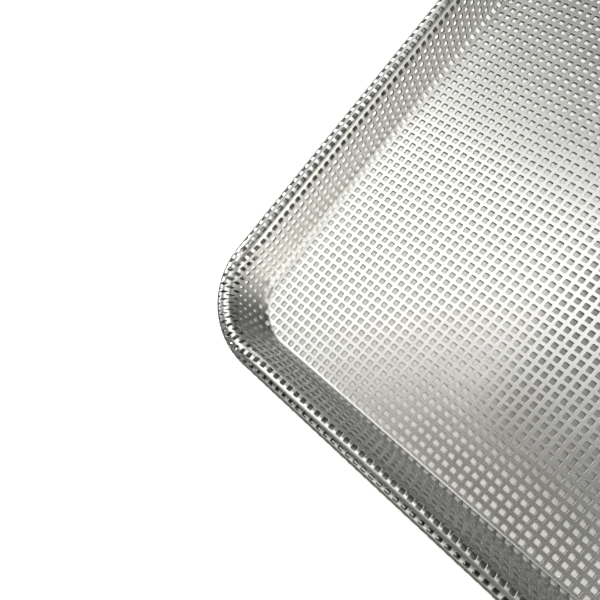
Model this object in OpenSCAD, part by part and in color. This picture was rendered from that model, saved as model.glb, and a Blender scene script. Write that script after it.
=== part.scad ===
// Flat baking tray, pressed from one sheet of aluminium. The floor is flat, the
// four walls lean outwards, and the top edge is rolled outwards and down around
// a steel wire. The sheet has its true thickness and no perforations.
// Units are millimetres, +Z is up, the long side runs along X and the front
// faces -Y. The origin is the middle of the underside.

/* [Tray] */
// Overall length over the rolled rim
tray_length = 600; // [300:1:800]
// Overall width over the rolled rim
tray_width = 400; // [250:1:600]
// Overall height from the underside to the top of the rim
tray_height = 26.6; // [22:0.1:60]
// Plan radius of the corners, on the outside of the rim
corner_r = 40; // [38:0.5:80]

/* [Sheet] */
// Thickness of the aluminium sheet
sheet = 1; // [0.6:0.1:1.5]
// Inside radius of the bend between the floor and the walls
bend_r = 2; // [1:0.5:6]
// Outward lean of the walls from upright, in degrees
flare = 16.3; // [2:0.1:25]

/* [Rolled rim] */
// Outside diameter of the roll
roll_d = 10; // [8:0.5:14]
// Angle the edge is rolled through, in degrees
roll_sweep = 300; // [240:5:310]

/* [Rim wire] */
// Diameter of the steel wire inside the roll
wire_d = 5; // [3:0.5:5.5]
// Gap between the two cut ends of the wire
wire_gap = 2; // [0.5:0.5:20]
// Play left between the wire and the bottom of the roll
wire_play = 0.1; // [0.05:0.05:0.3]

/* [Finish] */
// Colour of the aluminium sheet
sheet_colour = "#c9cac8"; // [#c9cac8, #b9bab6, #dcdddb]
// Colour of the steel wire
wire_colour = "#8a8c8e"; // [#8a8c8e, #6f7173, #a3a5a7]

/* [Hidden] */

bend_steps = 8;
roll_steps = 36;

// The wall section is drawn as [distance outwards from the start of the bend,
// height above the underside].
// Angle the floor turns through to become the wall
bend_sweep = 90 - flare;
bend_centre = [0, sheet + bend_r];
// Unit vectors up the wall and square to it, outwards
up = [sin(flare), cos(flare)];
out = [cos(flare), -sin(flare)];
// The inside face of the wall runs straight from its foot to its top, at the
// slant length that brings the roll to the overall height
roll_r = roll_d / 2;
wall_foot = bend_centre + bend_r * [sin(bend_sweep), -cos(bend_sweep)];
wall_slant = (tray_height - roll_r + roll_r * sin(flare) - wall_foot[1]) / cos(flare);
wall_top = wall_foot + wall_slant * up;
roll_centre = wall_top + roll_r * out;

// Plan radius of the corner at the start of the bend
floor_r = corner_r - (roll_centre[0] + roll_r);
// Half sides of the rectangle through the four corner centres
half_x = tray_length / 2 - corner_r;
half_y = tray_width / 2 - corner_r;

// Plan radius of the wire in the corners, and its height on the bottom of the roll
wire_turn_r = floor_r + roll_centre[0];
wire_z = roll_centre[1] - (roll_r - sheet - wire_d / 2 - wire_play);

// Straight sides: place, turn about Z, half length
front = [[0, -half_y, 0], 0, half_x];
back = [[0, half_y, 0], 180, half_x];
right = [[half_x, 0, 0], 90, half_y];
left = [[-half_x, 0, 0], -90, half_y];

// Corners: place, turn about Z
corners = [
    [[half_x, half_y, 0], 0],
    [[-half_x, half_y, 0], 90],
    [[-half_x, -half_y, 0], 180],
    [[half_x, -half_y, 0], 270]
];

// Puts its children at a side or a corner
module put_at(spot) {
    translate(spot[0]) rotate(spot[1]) children();
}

// Points from the floor to the wall, round the bend
function bend_arc(radius) = [
    for (i = [0 : bend_steps])
        let (a = bend_sweep * i / bend_steps)
        bend_centre + radius * [sin(a), -cos(a)]
];

// Points from the wall to the cut edge, round the roll
function roll_arc(radius) = [
    for (i = [0 : roll_steps])
        let (a = roll_sweep * i / roll_steps)
        roll_centre - radius * cos(a) * out + radius * sin(a) * up
];

function reversed(points) = [for (i = [len(points) - 1 : -1 : 0]) points[i]];

// Section of the bend, the wall and the roll: out along the upper face of the
// sheet and back along the lower one
module wall_section() {
    polygon(concat(
        bend_arc(bend_r),
        roll_arc(roll_r),
        reversed(roll_arc(roll_r - sheet)),
        reversed(bend_arc(bend_r + sheet))));
}

// Flat floor up to the start of the bend, short of its four round corners
module floor_plate() {
    edge_x = half_x + floor_r;
    edge_y = half_y + floor_r;
    linear_extrude(height = sheet)
        polygon([
            [-half_x, -edge_y], [half_x, -edge_y], [half_x, -half_y],
            [edge_x, -half_y], [edge_x, half_y], [half_x, half_y],
            [half_x, edge_y], [-half_x, edge_y], [-half_x, half_y],
            [-edge_x, half_y], [-edge_x, -half_y], [-half_x, -half_y]
        ]);
}

// One straight wall, running along X and leaning towards -Y
module straight_wall(half) {
    translate([half, 0, 0]) rotate([90, 0, -90])
        linear_extrude(height = 2 * half)
            translate([floor_r, 0]) wall_section();
}

// One quarter-turn corner: the round end of the floor and its wall
module pan_corner() {
    rotate_extrude(angle = 90) {
        square([floor_r, sheet]);
        translate([floor_r, 0]) wall_section();
    }
}

module perforated_pan() {
    color(sheet_colour) {
        floor_plate();
        for (side = [front, back, right, left])
            put_at(side) straight_wall(side[2]);
        for (corner = corners)
            put_at(corner) pan_corner();
    }
}

// A straight run of the wire along a side, between two places on its X axis
module wire_run(start, end) {
    translate([start, -wire_turn_r, wire_z]) rotate([0, 90, 0])
        cylinder(d = wire_d, h = end - start, $fn = 48);
}

module wire_corner() {
    rotate_extrude(angle = 90)
        translate([wire_turn_r, wire_z]) circle(d = wire_d, $fn = 48);
}

// One length bent round the tray, its ends meeting at the middle of the back
module rim_wire() {
    color(wire_colour) {
        for (side = [front, right, left])
            put_at(side) wire_run(-side[2], side[2]);
        put_at(back) {
            wire_run(-half_x, -wire_gap / 2);
            wire_run(wire_gap / 2, half_x);
        }
        for (corner = corners)
            put_at(corner) wire_corner();
    }
}

perforated_pan();
rim_wire();
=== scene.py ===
"""Looks of a perforated baking tray: punched sheet with a rolled rim, rim wire, floor, light, camera.

The tray is centred on the origin and stands on z = 0. Its long sides run along x and its
short sides along y; left is -x, right +x, front -y and back +y. The sheet is worked out
in mm as a flat blank, which is then pressed into the tray and scaled to metres.
"""

import math
from functools import partial

import bpy
import numpy as np
from mathutils import Matrix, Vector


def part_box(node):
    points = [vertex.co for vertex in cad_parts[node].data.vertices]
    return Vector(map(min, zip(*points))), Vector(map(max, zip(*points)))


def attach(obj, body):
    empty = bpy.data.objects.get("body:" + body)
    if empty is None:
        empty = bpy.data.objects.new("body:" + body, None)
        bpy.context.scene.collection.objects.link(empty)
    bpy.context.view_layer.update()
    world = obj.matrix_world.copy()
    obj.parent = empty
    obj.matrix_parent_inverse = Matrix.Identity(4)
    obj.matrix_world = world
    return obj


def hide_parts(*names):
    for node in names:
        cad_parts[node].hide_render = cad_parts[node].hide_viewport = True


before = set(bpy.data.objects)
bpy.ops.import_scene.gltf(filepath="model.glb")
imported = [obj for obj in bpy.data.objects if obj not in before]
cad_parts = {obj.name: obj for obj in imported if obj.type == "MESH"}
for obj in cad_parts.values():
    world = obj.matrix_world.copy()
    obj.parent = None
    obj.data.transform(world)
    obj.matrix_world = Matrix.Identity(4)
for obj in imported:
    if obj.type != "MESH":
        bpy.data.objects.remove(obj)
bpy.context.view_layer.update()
pan_lo, pan_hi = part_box("perforated_pan")

MM = 0.001

# ---------------------------------------------------------------- tray sizes, mm
LENGTH = round((pan_hi.x - pan_lo.x) / MM, 1)
WIDTH = round((pan_hi.y - pan_lo.y) / MM, 1)
HEIGHT = round((pan_hi.z - pan_lo.z) / MM, 1)
SHEET = 1.0  # thickness
BEND_R = 2.0
FLARE = math.radians(16.3)  # how far the walls lean out
CURL_R = 5.0
CURL_SWEEP = math.radians(300)
CORNER_R = 40.0  # outline of the rim, seen from above

PITCH_X, PITCH_Y = 4.3, 4.01
HOLE_X, HOLE_Y = 2.55, 2.4
HOLE_ROUND = 0.32  # radius of a hole's corners
LAND = 1 - HOLE_X / PITCH_X  # share of the pitch that is sheet
ROLL_W, ROLL_D = 0.15, 0.10  # width and depth of the rolled-over edge round each hole
ROLL_TILT = math.radians(68)  # lean of the normal on that edge
FIRST_X, FIRST_Y = 2.0, 2.82  # from the bend to the first floor holes, back left
LATTICE_SHIFT = 200  # columns and rows between the lattice's zero and those holes
EDGE_LAND = 0.7  # least sheet between a hole and the sheet's edge

# How pressing moves the sheet near a corner.
DRAW_STEP, DRAW = 2.3, 0.21  # drawn up over the bend, and per mm of wall
DRAW_EASE = 7  # distance over which the first sets in
SIDE_DRAW = 0.2  # share of the draw left at the ends of a corner
SIDE_FADE = 13  # distance along a straight side over which corner effects fade
PEAK_POWER = 1.2  # how sharply effects peak at the middle of a corner
BEND_MORE = 4.0  # extra bend radius at the middle of a corner
PULL = math.radians(3.5)  # how far the sheet slides round a corner
PULL_EASE = 20  # distance over which the slide sets in
CORNER_START = -6  # a corner is shaped from this far before the bend
# Distance past the bend, and how much lower the holes of the long sides sit there.
DROP_AT = (0, 2, 6, 20, 25, 33, 50)
DROP_BY = (0, 0.1, 0.2, 0.4, 0.4, 0.2, 0.2)

# Section of the wall, as (outward, up) from the start of the bend.
WALL_UP = np.array([math.sin(FLARE), math.cos(FLARE)])
WALL_OUT = np.array([math.cos(FLARE), -math.sin(FLARE)])
BEND_ANGLE = math.pi / 2 - FLARE
WALL_FOOT = np.array(
    [BEND_R * math.sin(BEND_ANGLE), SHEET + BEND_R * (1 - math.cos(BEND_ANGLE))]
)
WALL_LEN = (HEIGHT - CURL_R + CURL_R * math.sin(FLARE) - WALL_FOOT[1]) / math.cos(FLARE)
CURL_CENTRE = WALL_FOOT + WALL_LEN * WALL_UP + CURL_R * WALL_OUT
# Seen from above: the floor's corner radius, its centre, and where the bend starts.
FLOOR_R = CORNER_R - (CURL_CENTRE[0] + CURL_R)
CORNER_X, CORNER_Y = LENGTH / 2 - CORNER_R, WIDTH / 2 - CORNER_R
BEND_X, BEND_Y = CORNER_X + FLOOR_R, CORNER_Y + FLOOR_R
# Arc lengths from the start of the bend.
S_BEND = BEND_R * BEND_ANGLE
S_WALL = S_BEND + WALL_LEN
S_END = S_WALL + CURL_R * CURL_SWEEP


# ---------------------------------------------------------------- pressing the blank
def section(s, bend):
    """Inside face at arc length s: outward distance, height and unit normal."""
    reach = (bend - BEND_R) * math.tan(BEND_ANGLE / 2)  # a wider bend starts earlier
    angle = np.clip((s + reach) / (S_BEND + 2 * reach), 0, 1) * BEND_ANGLE
    up_wall = np.clip(s - S_BEND - reach, 0, WALL_LEN - reach)
    out = bend * np.sin(angle) - reach + np.minimum(s + reach, 0) + up_wall * WALL_UP[0]
    z = SHEET + bend * (1 - np.cos(angle)) + up_wall * WALL_UP[1]

    turn = np.clip((s - S_WALL) / CURL_R, 0, CURL_SWEEP)
    curl_out = -np.cos(turn) * WALL_OUT[0] + np.sin(turn) * WALL_UP[0]
    curl_z = -np.cos(turn) * WALL_OUT[1] + np.sin(turn) * WALL_UP[1]
    on_curl = s > S_WALL
    return (
        np.where(on_curl, CURL_CENTRE[0] + CURL_R * curl_out, out),
        np.where(on_curl, CURL_CENTRE[1] + CURL_R * curl_z, z),
        np.where(on_curl, curl_out, -np.sin(angle)),
        np.where(on_curl, curl_z, np.cos(angle)),
    )


def corner_peak(theta):
    """1 at the middle of a corner, 0 at its ends."""
    return np.sin(2 * theta) ** PEAK_POWER


def arc_length(x, y):
    """Arc length of blank points in the tray, whether a corner shapes them,
    their angle in it and their distance past the bend in the blank."""
    dx, dy = np.abs(x) - CORNER_X, np.abs(y) - CORNER_Y
    sector = (dx > 0) & (dy > 0)
    flat = np.where(sector, np.hypot(dx, dy), np.maximum(dx, dy)) - FLOOR_R
    theta = np.arctan2(np.maximum(dy, 0), np.maximum(dx, 0))
    near = np.clip(1 - np.maximum(-np.minimum(dx, dy), 0) / SIDE_FADE, 0, 1) ** 2
    drawn = np.where(
        sector, SIDE_DRAW + (1 - SIDE_DRAW) * corner_peak(theta), SIDE_DRAW * near
    )
    ease = np.clip(flat / DRAW_EASE, 0, 1)
    step = DRAW_STEP * ease * ease * (3 - 2 * ease)
    s = flat + (step + DRAW * np.maximum(flat, 0)) * drawn
    long_side = np.where(dy > dx, np.clip(-dx / SIDE_FADE, 0, 1), 0)
    s = s - np.interp(flat, DROP_AT, DROP_BY) * long_side * (flat > 0)
    return s, sector & (flat > CORNER_START), theta, flat


def formed(x, y, fixed_s=None):
    """Blank points in the pressed tray: place and normal of the inside face,
    how much the sheet is squeezed sideways there, and the angle in the corner.
    Where fixed_s isn't NaN it is the arc length."""
    sign_x, sign_y = np.where(x < 0, -1.0, 1.0), np.where(y < 0, -1.0, 1.0)
    dx, dy = np.abs(x) - CORNER_X, np.abs(y) - CORNER_Y
    s, corner, theta, flat = arc_length(x, y)
    if fixed_s is not None:
        s = np.where(np.isnan(fixed_s), s, fixed_s)
    # the bend is softer round a corner
    bend = BEND_R + BEND_MORE * np.where(corner, corner_peak(theta), 0)
    out, z, normal_out, normal_z = section(s, bend)
    radius = FLOOR_R + out
    pull = PULL * np.clip(flat / PULL_EASE, 0, 1)
    angle = theta + pull * np.sin(4 * theta)
    squeeze = np.where(
        corner,
        radius * (1 + 4 * pull * np.cos(4 * theta))
        / (FLOOR_R + np.maximum(flat, CORNER_START)),
        1.0,
    )
    to_x = dx > dy
    px = np.where(corner, radius * np.cos(angle), np.where(to_x & (flat > 0), radius, dx))
    py = np.where(corner, radius * np.sin(angle), np.where(~to_x & (flat > 0), radius, dy))
    out_x = np.where(corner, np.cos(angle), np.where(to_x, 1.0, 0.0))
    out_y = np.where(corner, np.sin(angle), np.where(to_x, 0.0, 1.0))
    place = np.stack([sign_x * (CORNER_X + px), sign_y * (CORNER_Y + py), z], -1)
    normal = np.stack(
        [sign_x * out_x * normal_out, sign_y * out_y * normal_out, normal_z], -1
    )
    return place, normal, squeeze, theta


# ---------------------------------------------------------------- lattice of cells
# One cell per hole. Columns run to the right; rows run from back to front.
zero_x = -BEND_X + FIRST_X - PITCH_X * LATTICE_SHIFT
zero_y = BEND_Y - FIRST_Y + PITCH_Y * LATTICE_SHIFT
reach_x, reach_y = BEND_X + S_END, BEND_Y + S_END
first_column = math.ceil((-reach_x - zero_x) / PITCH_X) - 1
last_column = math.floor((reach_x - zero_x) / PITCH_X) + 1
first_row = math.ceil((zero_y - reach_y) / PITCH_Y) - 1
last_row = math.floor((zero_y + reach_y) / PITCH_Y) + 1
COLUMNS, ROWS = last_column - first_column + 1, last_row - first_row + 1
column_x = zero_x + PITCH_X * (first_column + np.arange(COLUMNS))
row_y = zero_y - PITCH_Y * (first_row + np.arange(ROWS))
# the lines between cells lie half a pitch before each centre
line_x = np.append(column_x - PITCH_X / 2, column_x[-1] + PITCH_X / 2)
line_y = np.append(row_y + PITCH_Y / 2, row_y[-1] - PITCH_Y / 2)
inside = arc_length(*np.meshgrid(column_x, row_y, indexing="ij"))[0] < S_END - 0.15 * PITCH_Y

TURN_STEP = 9.0  # degrees the normal may turn along one piece of an edge


def turns(normal_a, normal_b):
    cosine = np.clip((normal_a * normal_b).sum(-1), -1, 1)
    return np.maximum(np.ceil(np.degrees(np.arccos(cosine)) / TURN_STEP), 1).astype(int)


def edge_parts(start, middle, end):
    """How many pieces an edge is cut into, from the normals along it: 8 at most."""
    both = turns(start, middle) + turns(middle, end)
    return np.where(both > 2, np.minimum(both, 8), 2 - (turns(start, end) == 1))


grid_x, grid_y = np.meshgrid(line_x, line_y, indexing="ij")
grid_n = formed(grid_x, grid_y)[1]
mid_n_x = formed((grid_x[:-1] + grid_x[1:]) / 2, (grid_y[:-1] + grid_y[1:]) / 2)[1]
mid_n_y = formed(
    (grid_x[:, :-1] + grid_x[:, 1:]) / 2, (grid_y[:, :-1] + grid_y[:, 1:]) / 2
)[1]
# pieces per edge along a row, and per edge along a column
EDGE_PARTS = (
    edge_parts(grid_n[:-1], mid_n_x, grid_n[1:]),
    edge_parts(grid_n[:, :-1], mid_n_y, grid_n[:, 1:]),
)

blank_points = []  # x, y and fixed arc length (NaN if free); both faces share them
corner_ids, edge_ids = {}, {}


def add(x, y, fixed_s=math.nan):
    blank_points.append((x, y, fixed_s))
    return len(blank_points) - 1


def has(i, j):
    return 0 <= i < COLUMNS and 0 <= j < ROWS and inside[i, j]


def cell_corner(i, j):
    """Vertex where the lines cross before cell (i, j); on the rim it is set to the sheet's end."""
    if (i, j) not in corner_ids:
        enclosed = has(i, j) and has(i - 1, j) and has(i, j - 1) and has(i - 1, j - 1)
        corner_ids[i, j] = add(line_x[i], line_y[j], math.nan if enclosed else S_END)
    return corner_ids[i, j]


def cell_edge(i, j, axis):
    """Vertices from corner (i, j) to the next one along a row (axis 0) or a column (axis 1)."""
    key = (i, j, axis)
    if key not in edge_ids:
        di, dj = ((1, 0), (0, 1))[axis]
        parts = EDGE_PARTS[axis][i, j]
        fixed_s = S_END if has(i, j) != has(i - dj, j - di) else math.nan
        start, end = cell_corner(i, j), cell_corner(i + di, j + dj)
        between = [
            add(
                line_x[i] + (line_x[i + di] - line_x[i]) * m / parts,
                line_y[j] + (line_y[j + dj] - line_y[j]) * m / parts,
                fixed_s,
            )
            for m in range(1, parts)
        ]
        edge_ids[key] = [start] + between + [end]
    return edge_ids[key]


# ---------------------------------------------------------------- holes
# Anticlockwise from the front left corner: each side's direction, each corner's way inward.
RUN = ((1, 0), (0, 1), (-1, 0), (0, -1))
INWARD = ((1, 1), (-1, 1), (-1, -1), (1, -1))


def hole_side(k, parts, grow):
    """Offsets from the centre, from the middle of corner k along side k to where it ends."""
    half_x, half_y, radius = HOLE_X / 2 + grow, HOLE_Y / 2 + grow, HOLE_ROUND + grow
    (ax, ay), (bx, by) = [
        (-half_x * INWARD[c][0], -half_y * INWARD[c][1]) for c in (k, (k + 1) % 4)
    ]
    run_x, run_y = RUN[k]
    inset = radius * (1 - math.sqrt(0.5))
    points = [(ax + INWARD[k][0] * inset, ay + INWARD[k][1] * inset)]
    start = (ax + run_x * radius, ay + run_y * radius)
    end = (bx - run_x * radius, by - run_y * radius)
    for m in range(parts + 1):
        f = m / parts
        points.append(
            (start[0] + (end[0] - start[0]) * f, start[1] + (end[1] - start[1]) * f)
        )
    return points


def zipper(outer, inner):
    """Triangles between two vertex rows that run the same way round a ring."""
    triangles, i, j = [], 0, 0
    outer_n, inner_n = len(outer) - 1, len(inner) - 1
    while i < outer_n or j < inner_n:
        if j == inner_n or (i < outer_n and (i + 1) / outer_n <= (j + 1) / inner_n):
            triangles.append((outer[i], outer[i + 1], inner[j]))
            i += 1
        else:
            triangles.append((outer[i], inner[j + 1], inner[j]))
            j += 1
    return triangles


cells = np.argwhere(inside)
cell_x, cell_y = column_x[cells[:, 0]], row_y[cells[:, 1]]
_, _, cell_squeeze, cell_theta = formed(cell_x, cell_y)
cell_s = arc_length(cell_x, cell_y)[0]
# how much the sheet is stretched up the wall, from half a mm either side
cell_stretch = np.hypot(
    arc_length(cell_x + 0.5, cell_y)[0] - arc_length(cell_x - 0.5, cell_y)[0],
    arc_length(cell_x, cell_y + 0.5)[0] - arc_length(cell_x, cell_y - 0.5)[0],
).clip(1, 2)
hole_reach = np.max(
    [
        arc_length(cell_x + dx, cell_y + dy)[0]
        for dx in (-HOLE_X / 2, HOLE_X / 2)
        for dy in (-HOLE_Y / 2, HOLE_Y / 2)
    ],
    axis=0,
)
punched = hole_reach < S_END - EDGE_LAND
tangent_x = -np.sin(cell_theta) * np.where(cell_x < 0, -1.0, 1.0)
tangent_y = np.cos(cell_theta) * np.where(cell_y < 0, -1.0, 1.0)


def hole_scale(n):
    """Scale of hole n round the tray and up the wall."""
    squeeze = cell_squeeze[n]
    if squeeze >= 0.999:
        return 1.0, 1.0
    # where the sheet is squeezed round a corner a hole closes up sideways
    shrink = max(0.22, (squeeze - LAND) / ((1 - LAND) * squeeze))
    # its height undoes the stretch on the wall and grows on the curl
    on_rim = min(max((cell_s[n] - S_WALL + 3) / 3, 0), 1)
    grown = (1 - on_rim) * 0.95 / cell_stretch[n] + on_rim * (1 + 0.9 * (1 - squeeze))
    return shrink, grown


hole_rims = []  # vertex, direction of the hole's edge there, the hole's centre


def hole_rings(n, side_parts):
    """Vertices of hole n, side by side: the outside of its rolled edge, then its inside."""
    tx, ty = tangent_x[n], tangent_y[n]
    shrink, grown = hole_scale(n)

    def scaled(offset_x, offset_y, x=0.0, y=0.0):
        along = offset_x * tx + offset_y * ty
        up = offset_y * tx - offset_x * ty
        return (
            x + shrink * along * tx - grown * up * ty,
            y + shrink * along * ty + grown * up * tx,
        )

    rings = []
    for grow in (ROLL_W, 0.0):
        sides = []
        for k, parts in enumerate(side_parts):
            ids = []
            for q, offset in enumerate(hole_side(k, parts, grow)):
                vertex = add(*scaled(*offset, cell_x[n], cell_y[n]))
                ids.append(vertex)
                if grow == 0.0:
                    run_x, run_y = RUN[k]
                    if q == 0:
                        run_x, run_y = run_x + RUN[k - 1][0], run_y + RUN[k - 1][1]
                    hole_rims.append((vertex, scaled(run_x, run_y), (cell_x[n], cell_y[n])))
            sides.append(ids)
        rings.append(sides)
    return rings


FLOOR_COLUMNS = ("left", "middle", "right")
CORNER_MARGIN = 22  # a corner piece reaches this far inward of the corner's centre


def piece_of(x, y):
    """Name of the piece a cell belongs to."""
    side_x, side_y = ("left" if x < 0 else "right"), ("front" if y < 0 else "back")
    if abs(x) < BEND_X and abs(y) < BEND_Y:
        column = min(2, int((x + BEND_X) / (BEND_X * 2 / 3)))
        return f"pan_floor_{side_y}_{FLOOR_COLUMNS[column]}"
    if abs(x) > CORNER_X - CORNER_MARGIN and abs(y) > CORNER_Y - CORNER_MARGIN:
        return f"pan_corner_{side_y}_{side_x}"
    return f"pan_side_{side_y}_{side_x}" if abs(y) >= BEND_Y else f"pan_side_{side_x}"


# Each piece's triangles on the inside face and on the outside face.
inner_tris, outer_tris = {}, {}
for n, (i, j) in enumerate(cells):
    # the cell's edges, anticlockwise from its front left corner
    edges = [
        cell_edge(i, j + 1, 0),
        cell_edge(i + 1, j, 1)[::-1],
        cell_edge(i, j, 0)[::-1],
        cell_edge(i, j, 1),
    ]
    piece = piece_of(cell_x[n], cell_y[n])
    inner, outer = inner_tris.setdefault(piece, []), outer_tris.setdefault(piece, [])
    if not punched[n]:
        ring = [v for edge in edges for v in edge[:-1]]
        middle = add(cell_x[n], cell_y[n])
        fan = [(middle, ring[m - 1], ring[m]) for m in range(len(ring))]
        inner += fan
        outer += fan
        continue
    # a hole's side has about 0.62 times as many points as its cell's edge
    wide, tight = hole_rings(n, [max(1, round(len(edge) * 0.62 - 0.4)) for edge in edges])
    for k, edge in enumerate(edges):
        inner += zipper(edge, wide[k] + [wide[(k + 1) % 4][0]])
        outer += zipper(edge, tight[k] + [tight[(k + 1) % 4][0]])
    wide, tight = sum(wide, []), sum(tight, [])
    for q in range(len(wide)):
        r = (q + 1) % len(wide)
        inner += [(wide[q], wide[r], tight[r]), (wide[q], tight[r], tight[q])]

# ---------------------------------------------------------------- pressed vertices


def unit(vectors):
    return vectors / np.maximum(np.linalg.norm(vectors, axis=1, keepdims=True), 1e-12)


blank_x, blank_y, fixed_s = np.array(blank_points).T
blank_xy = np.stack([blank_x, blank_y], -1)
COUNT = len(blank_x)
rim_v, rim_run, rim_centre = map(np.array, zip(*hole_rims))
place, normal, _, _ = formed(blank_x, blank_y, fixed_s)
outer_place = (place - SHEET * normal) * MM

# the wall of a hole faces its middle: square to the sheet's normal and the hole's edge
rim_x, rim_y = blank_x[rim_v], blank_y[rim_v]
nudge = rim_run / np.linalg.norm(rim_run, axis=1, keepdims=True) * 0.02
rim_along = (
    formed(rim_x + nudge[:, 0], rim_y + nudge[:, 1])[0]
    - formed(rim_x - nudge[:, 0], rim_y - nudge[:, 1])[0]
)
facing = unit(np.cross(normal[rim_v], rim_along))
wall_normal = np.zeros_like(normal)
wall_normal[rim_v] = facing
inner_normal = normal.copy()
inner_normal[rim_v] = normal[rim_v] * math.cos(ROLL_TILT) + facing * math.sin(ROLL_TILT)
place[rim_v] -= ROLL_D * normal[rim_v]
inner_place = place * MM
# where the foot of a hole's wall lies in the UV map: a little over halfway to the centre
foot_xy = blank_xy.copy()
foot_xy[rim_v] = 0.45 * foot_xy[rim_v] + 0.55 * rim_centre


def face_mesh(name, vertices, loops, sizes):
    mesh = bpy.data.meshes.new(name)
    mesh.vertices.add(len(vertices))
    mesh.vertices.foreach_set("co", vertices.astype(np.float32).ravel())
    mesh.loops.add(len(loops))
    mesh.loops.foreach_set("vertex_index", loops.astype(np.int32))
    mesh.polygons.add(len(sizes))
    starts = np.concatenate([[0], np.cumsum(sizes)[:-1]])
    mesh.polygons.foreach_set("loop_start", starts.astype(np.int32))
    mesh.update(calc_edges=True)
    return mesh


def sheet_piece(name, inner, outer):
    """One closed solid of the sheet: both faces, the walls of its holes and its cut edges."""
    inner, outer = np.array(inner, np.int64), np.array(outer, np.int64)
    # open edges of the outside face, from a to b
    edges = np.concatenate([outer[:, [0, 1]], outer[:, [1, 2]], outer[:, [2, 0]]])
    twin = np.isin(edges[:, 0] * COUNT + edges[:, 1], edges[:, 1] * COUNT + edges[:, 0])
    a, b = edges[~twin].T
    outer = outer[:, ::-1]

    used_inner, used_outer = np.unique(inner), np.unique(outer)
    inner_id, outer_id = np.full(COUNT, -1, np.int64), np.full(COUNT, -1, np.int64)
    inner_id[used_inner] = np.arange(len(used_inner))
    outer_id[used_outer] = np.arange(len(used_outer)) + len(used_inner)
    walls = np.stack([inner_id[a], outer_id[a], outer_id[b], inner_id[b]], -1)
    tri_count = len(inner) + len(outer)
    sizes = np.concatenate([np.full(tri_count, 3), np.full(len(walls), 4)])
    mesh = face_mesh(
        name,
        np.concatenate([inner_place[used_inner], outer_place[used_outer]]),
        np.concatenate([inner_id[inner].ravel(), outer_id[outer].ravel(), walls.ravel()]),
        sizes,
    )

    # The UV map is the flat blank: inside face in the lower half, outside face in the
    # upper half, hole walls inside their holes.
    box_lo, box_hi = blank_xy[used_inner].min(0), blank_xy[used_inner].max(0)
    scale = np.array([0.994, 0.494]) / (box_hi - box_lo)
    uv = (blank_xy - box_lo) * scale + 0.003
    foot = (foot_xy - box_lo) * scale + 0.003
    wall_uv = np.stack([uv[a], foot[a], foot[b], uv[b]], 1).reshape(-1, 2)
    all_uv = np.concatenate([uv[inner.ravel()], uv[outer.ravel()] + [0, 0.5], wall_uv])
    layer = mesh.uv_layers.new(name="OFBake")
    layer.data.foreach_set("uv", all_uv.astype(np.float32).ravel())
    mesh.polygons.foreach_set("use_smooth", np.ones(len(sizes), bool))

    # 0.5 on the walls of the floor's holes, 1 on those of the sides, 0 elsewhere: cut faces are
    # duller, and the extra darkness on the sides' holes is painted shade
    is_hole = np.abs(wall_normal[a]).sum(1) > 0
    cut_and_shade = is_hole * np.where(place[a, 2] > SHEET + 1.5, 1.0, 0.5)
    cut = mesh.attributes.new("cut_edge_and_shade", "FLOAT", "CORNER")
    cut_and_shade_values = np.concatenate([np.zeros(3 * tri_count), np.repeat(cut_and_shade, 4)])
    cut.data.foreach_set("value", cut_and_shade_values.astype(np.float32))

    # Exact normals: the section's on both faces, a hole's own round its wall, flat on a cut.
    flat = unit(np.cross(outer_place[a] - inner_place[a], inner_place[b] - inner_place[a]))
    at_a, at_b = [np.where(is_hole[:, None], wall_normal[v], flat) for v in (a, b)]
    wall_normals = np.stack([at_a, at_a, at_b, at_b], 1).reshape(-1, 3)
    normals = np.concatenate(
        [inner_normal[inner.ravel()], -normal[outer.ravel()], wall_normals]
    )
    mesh.normals_split_custom_set(normals.astype(np.float32))
    piece = bpy.data.objects.new(name, mesh)
    bpy.context.scene.collection.objects.link(piece)
    return piece


# ---------------------------------------------------------------- shader helpers
def feed(target, inputs):
    """Sets a node's inputs by name or number, each from a value or from another socket."""
    for key, value in inputs.items():
        if isinstance(value, bpy.types.NodeSocket):
            target.id_data.links.new(value, target.inputs[key])
        else:
            target.inputs[key].default_value = value


def node(tree, kind, inputs=None, **settings):
    made = tree.nodes.new(kind)
    for key, value in settings.items():
        setattr(made, key, value)
    feed(made, inputs or {})
    return made


def maths(tree, operation, *operands):
    inputs = dict(enumerate(operands))
    return node(tree, "ShaderNodeMath", inputs, operation=operation).outputs[0]


def mix(tree, factor, a, b, **settings):
    inputs = {0: factor, "A": a, "B": b}
    return node(tree, "ShaderNodeMix", inputs, **settings).outputs["Result"]


def noise(tree, coord, scale, detail, rough=0.5):
    inputs = {"Vector": coord, "Scale": scale, "Detail": detail, "Roughness": rough}
    return node(tree, "ShaderNodeTexNoise", inputs).outputs[0]


def bump(tree, height, **inputs):
    return node(tree, "ShaderNodeBump", {"Height": height, **inputs}).outputs[0]


def ramp(tree, source, stops):
    """Colour ramp through stops of position and colour."""
    made = node(tree, "ShaderNodeValToRGB", {0: source})
    elements = made.color_ramp.elements
    for k in (0, -1):
        elements[k].position = stops[k][0]
        elements[k].color = (*stops[k][1], 1)
    for position, colour in stops[1:-1]:
        elements.new(position).color = (*colour, 1)
    return made.outputs[0]


def coordinates(tree, kind):
    return node(tree, "ShaderNodeTexCoord").outputs[kind]


def new_material(name):
    material = bpy.data.materials.new(name)
    material.use_nodes = True
    return material, material.node_tree, material.node_tree.nodes["Principled BSDF"]


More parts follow.
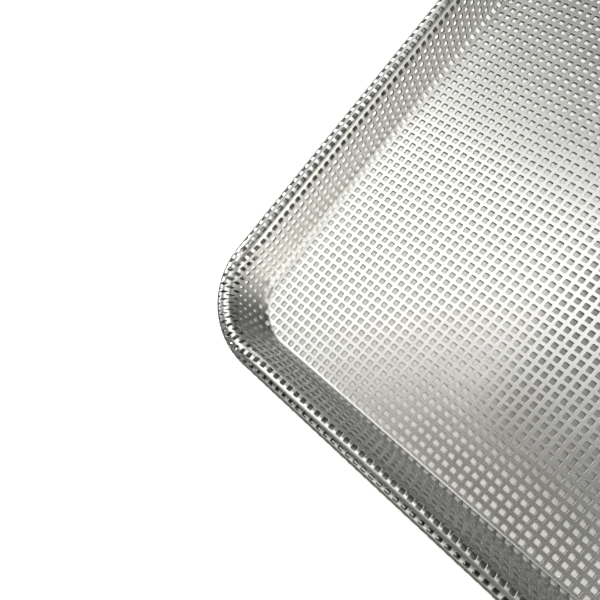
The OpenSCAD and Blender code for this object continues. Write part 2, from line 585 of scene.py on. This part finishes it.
# ---------------------------------------------------------------- metals
def aluminium():
    """Bright smeared sheet with fine grain along x; the walls of the holes are duller as cut faces,
    and darker still on the sides as painted shade.
    """
    material, tree, principled = new_material("aluminium_sheet")
    calc = partial(maths, tree)
    coord = coordinates(tree, "Object")
    cloud = noise(tree, coord, scale=14, detail=4, rough=0.6)
    smear = noise(tree, coord, scale=45, detail=5, rough=0.65)
    speck = noise(tree, coord, scale=2600, detail=2, rough=0.6)
    stretched = node(tree, "ShaderNodeMapping", {"Vector": coord, "Scale": (0.05, 1, 1)})
    grain = noise(tree, stretched.outputs[0], scale=900, detail=2)
    dents = noise(tree, coord, scale=90, detail=3)
    cut_and_shade = node(tree, "ShaderNodeAttribute", attribute_name="cut_edge_and_shade").outputs["Fac"]

    blend = calc("MULTIPLY_ADD", cloud, 0.5, calc("MULTIPLY", smear, 0.5))
    colour = ramp(
        tree, blend, [(0.3, (0.80, 0.80, 0.79)), (0.5, (0.86, 0.86, 0.85)), (0.7, (0.90,) * 3)]
    )
    # hole walls are multiplied towards this: duller as cut faces, and darker on the sides as painted
    # shade
    dull_and_shaded = (0.55, 0.55, 0.53, 1)
    colour = mix(tree, cut_and_shade, colour, dull_and_shaded, data_type="RGBA", blend_type="MULTIPLY")

    # base 0.19, rougher by up to this much in smears, specks and on hole walls
    rough = calc("MULTIPLY_ADD", smear, 0.10, 0.19)
    rough = calc("MULTIPLY_ADD", speck, 0.05, rough)
    rough = calc("MULTIPLY_ADD", calc("GREATER_THAN", cut_and_shade, 0.25), 0.35, rough)

    fine = bump(tree, grain, Strength=0.10, Distance=0.0002)
    surface = bump(tree, dents, Strength=0.15, Distance=0.0006, Normal=fine)
    feed(
        principled,
        {"Base Color": colour, "Metallic": 1.0, "Roughness": rough, "Normal": surface},
    )
    return material


def wire_steel():
    """Grey mottled steel."""
    material, tree, principled = new_material("rim_wire_steel")
    coord = coordinates(tree, "Object")
    spangle = noise(tree, coord, scale=320, detail=3, rough=0.6)
    pits = noise(tree, coord, scale=700, detail=2)
    feed(
        principled,
        {
            "Base Color": ramp(
                tree, spangle, [(0.3, (0.34, 0.35, 0.36)), (0.7, (0.52, 0.53, 0.54))]
            ),
            "Metallic": 1.0,
            "Roughness": maths(tree, "MULTIPLY_ADD", spangle, 0.25, 0.32),
            "Normal": bump(tree, pits, Strength=0.2, Distance=0.0003),
        },
    )
    return material


sheet_metal, wire_metal = aluminium(), wire_steel()
for name in sorted(inner_tris):
    pan_piece = sheet_piece(name, inner_tris[name], outer_tris[name])
    pan_piece.data.materials.append(sheet_metal)
    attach(pan_piece, "root")
    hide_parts("perforated_pan")

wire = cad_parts["rim_wire"]
wire.data.materials.clear()
wire.data.materials.append(wire_metal)
for polygon in wire.data.polygons:
    polygon.use_smooth = True

# ---------------------------------------------------------------- floor
FLOOR_HALF = 4.0  # m
FLOOR_Z = -0.0002  # m, just below the tray
# Distance in mm beyond the start of the tray's bend, and the floor's tone there: painted shade under
# the tray and under the rims of the short sides, painted light creeping in under the long sides.
SHORT_SIDE = ((-18, 1.6), (0, 1.6), (3, 0.85), (16, 0.85), (20, 2.3), (40, 2.3))
LONG_SIDE = ((-18, 1.6), (-5, 1.85), (2, 2.1), (40, 2.3))
# painted shade under the middle of the tray
SHADE_X, SHADE_Y = (9, 43), (98, 124)  # where the middle's shade starts and is full, in from the bend
# painted light on the floor grows in this direction
AWAY_X, AWAY_Y = 0.811, 0.585  # towards the back right
AWAY_START = AWAY_X * (-BEND_X + 22.1) + AWAY_Y * (BEND_Y - 94.45) + 80
AWAY_SPAN = 85
# painted reflection: the floor's tone where the metal reflects it
TONE_IN_METAL = 0.18


def map_range(tree, value, start, end, **settings):
    """0 at start and 1 at end, both in mm."""
    inputs = {"Value": value, "From Min": start * MM, "From Max": end * MM}
    return node(tree, "ShaderNodeMapRange", inputs, **settings).outputs["Result"]


def tone(tree, beyond, stops):
    """The floor's tone with its painted light and shade along one side; the ramp holds it scaled to
    1.
    """
    start, end = stops[0][0], stops[-1][0]
    top = max(value for _, value in stops)
    scaled = [((at - start) / (end - start), (value / top,) * 3) for at, value in stops]
    return maths(tree, "MULTIPLY", ramp(tree, map_range(tree, beyond, start, end), scaled), top)


def floor_white():
    """Pale, with painted shade round and under the tray, painted light along its long sides and
    towards the back right, and painted dim where it shows in the metal.
    """
    material, tree, principled = new_material("floor_white")
    calc = partial(maths, tree)
    eased = partial(map_range, tree, interpolation_type="SMOOTHSTEP")
    where = node(tree, "ShaderNodeSeparateXYZ", {0: coordinates(tree, "Object")})
    x, y = where.outputs[0], where.outputs[1]
    abs_x, abs_y = calc("ABSOLUTE", x), calc("ABSOLUTE", y)

    # distance beyond the start of the bend, round the corners too
    past_x = calc("MAXIMUM", calc("SUBTRACT", abs_x, CORNER_X * MM), 0.0)
    past_y = calc("MAXIMUM", calc("SUBTRACT", abs_y, CORNER_Y * MM), 0.0)
    square_x, square_y = calc("MULTIPLY", past_x, past_x), calc("MULTIPLY", past_y, past_y)
    total = calc("ADD", calc("ADD", square_x, square_y), 1e-9)
    beyond = calc("SUBTRACT", calc("SQRT", total), FLOOR_R * MM)
    # painted shade and light by distance past the bend, the short sides' tones blended into the long
    # sides' round the corners
    painted_tone = mix(
        tree,
        calc("DIVIDE", square_y, total),
        tone(tree, beyond, SHORT_SIDE),
        tone(tree, beyond, LONG_SIDE),
    )

    # painted shade: under the middle of the tray the floor is up to 60% darker, as though light crept
    # in under it from its sides only
    middle_shade = calc(
        "MULTIPLY",
        eased(abs_x, BEND_X - SHADE_X[0], BEND_X - SHADE_X[1]),
        eased(abs_y, BEND_Y - SHADE_Y[0], BEND_Y - SHADE_Y[1]),
    )
    painted_tone = calc("MULTIPLY", painted_tone, calc("MULTIPLY_ADD", middle_shade, -0.6, 1.0))
    # painted light: under the tray the floor is up to a third brighter towards the back right, fading
    # out at the bend
    away = calc("MULTIPLY_ADD", x, AWAY_X, calc("MULTIPLY", y, AWAY_Y))
    lit = calc(
        "MULTIPLY", eased(away, AWAY_START, AWAY_START + AWAY_SPAN), eased(beyond, 0, -8)
    )
    painted_tone = calc("MULTIPLY", painted_tone, calc("MULTIPLY_ADD", lit, 0.33, 1.0))

    # painted reflection: glossy rays see the floor at this dim tone instead of its own
    glossy = node(tree, "ShaderNodeLightPath").outputs["Is Glossy Ray"]
    shown = mix(tree, glossy, painted_tone, TONE_IN_METAL)
    rgb = {0: shown, 1: shown, 2: calc("MULTIPLY", shown, 0.985)}
    feed(
        principled,
        {
            "Base Color": node(tree, "ShaderNodeCombineColor", rgb).outputs[0],
            "Roughness": 0.9,
            "Specular IOR Level": 0.0,
        },
    )
    return material


scene = bpy.context.scene
scene.view_settings.view_transform = "Standard"
scene.view_settings.look = "None"

floor_mesh = bpy.data.meshes.new("floor")
floor_corners = [(x * FLOOR_HALF, y * FLOOR_HALF, 0) for x, y in reversed(INWARD)]
floor_mesh.from_pydata(floor_corners[1:3] + floor_corners[3:] + floor_corners[:1], [], [(0, 3, 2, 1)])
floor_mesh.clear_geometry()
floor_mesh.from_pydata(
    [(-x * FLOOR_HALF, -y * FLOOR_HALF, 0) for x, y in INWARD], [], [(0, 1, 2, 3)]
)
floor = bpy.data.objects.new("floor", floor_mesh)
floor.location.z = FLOOR_Z
scene.collection.objects.link(floor)
floor_mesh.materials.append(floor_white())

# ---------------------------------------------------------------- light
# Soft patches of light: azimuth and height in degrees, tightness, strength, number of the tint.
LIGHTS = (
    (0, 90, 58, 0.12, 2), (60, 79, 58, 0.51, 0), (15, 68, 58, 0.40, 0),
    (45, 68, 58, 1.02, 0), (75, 68, 58, 0.87, 0), (105, 68, 58, 1.08, 0),
    (345, 68, 58, 1.62, 0), (40, 57, 58, 0.96, 0), (260, 44, 19, 0.61, 1),
    (300, 44, 19, 0.10, 1), (33, 23, 19, 0.77, 0), (98, 23, 19, 0.60, 0),
    (229, 23, 19, 0.83, 1), (262, 23, 19, 2.00, 1), (295, 23, 19, 0.99, 1),
    (45, 5, 19, 2.23, 0), (75, 5, 19, 4.31, 0), (105, 5, 19, 2.69, 0),
    (180, 17, 19, 1.00, 0), (215, 15, 19, 0.60, 1), (205, 40, 19, 0.15, 1),
)
# near white, warmer from the front, orange overhead
TINTS = ((1.0, 0.998, 0.98), (1.0, 0.985, 0.905), (1.0, 0.72, 0.45))
AMBIENT = 0.04  # in the second tint
BACKDROP = (1, 1, 0.985, 1)  # what the camera sees past the floor's edge


def studio():
    world = bpy.data.worlds.new("studio")
    world.use_nodes = True
    tree = world.node_tree
    look = coordinates(tree, "Generated")
    sums = [0.0, AMBIENT, 0.0]  # light in each tint
    for azimuth, height, tight, strength, tint in LIGHTS:
        azimuth, height = math.radians(azimuth), math.radians(height)
        direction = (
            math.cos(height) * math.cos(azimuth),
            math.cos(height) * math.sin(azimuth),
            math.sin(height),
        )
        dot = node(
            tree, "ShaderNodeVectorMath", {0: look, 1: direction}, operation="DOT_PRODUCT"
        ).outputs["Value"]
        lobe = maths(tree, "EXPONENT", maths(tree, "MULTIPLY_ADD", dot, tight, -tight))
        sums[tint] = maths(tree, "MULTIPLY_ADD", lobe, strength, sums[tint])
    light = node(tree, "ShaderNodeCombineXYZ")
    for k in range(3):
        total = 0.0
        for part, colour in zip(sums, TINTS):
            total = maths(tree, "MULTIPLY_ADD", part, colour[k], total)
        feed(light, {k: total})
    camera_ray = node(tree, "ShaderNodeLightPath").outputs["Is Camera Ray"]
    colour = mix(tree, camera_ray, light.outputs[0], BACKDROP, data_type="RGBA")
    feed(tree.nodes["Background"], {"Color": colour, "Strength": 1.0})
    return world


scene.world = studio()

# ---------------------------------------------------------------- camera
# It looks down at the back left corner from about 0.22 m above the tray's floor.
CAMERA_PLACE = (-BEND_X + 22.07111, BEND_Y - 94.45124, SHEET + 217.88401)  # mm
CAMERA_RIGHT = (0.63031661, -0.73024344, -0.26352512)
CAMERA_UP = (0.77632806, 0.59461712, 0.20915358)
CAMERA_BACK = (0.00396352, -0.33641492, 0.94170552)

camera_data = bpy.data.cameras.new("camera")
camera_data.sensor_width = 36
camera_data.lens = 27.60642
camera_data.clip_start, camera_data.clip_end = 0.01, 50
camera_data.shift_x, camera_data.shift_y = -0.000333333, 0.00183333
camera = bpy.data.objects.new("camera", camera_data)
camera_metres = [distance * MM for distance in CAMERA_PLACE]
camera.matrix_world = Matrix(
    (*zip(CAMERA_RIGHT, CAMERA_UP, CAMERA_BACK, camera_metres), (0, 0, 0, 1))
)
scene.collection.objects.link(camera)
scene.camera = camera
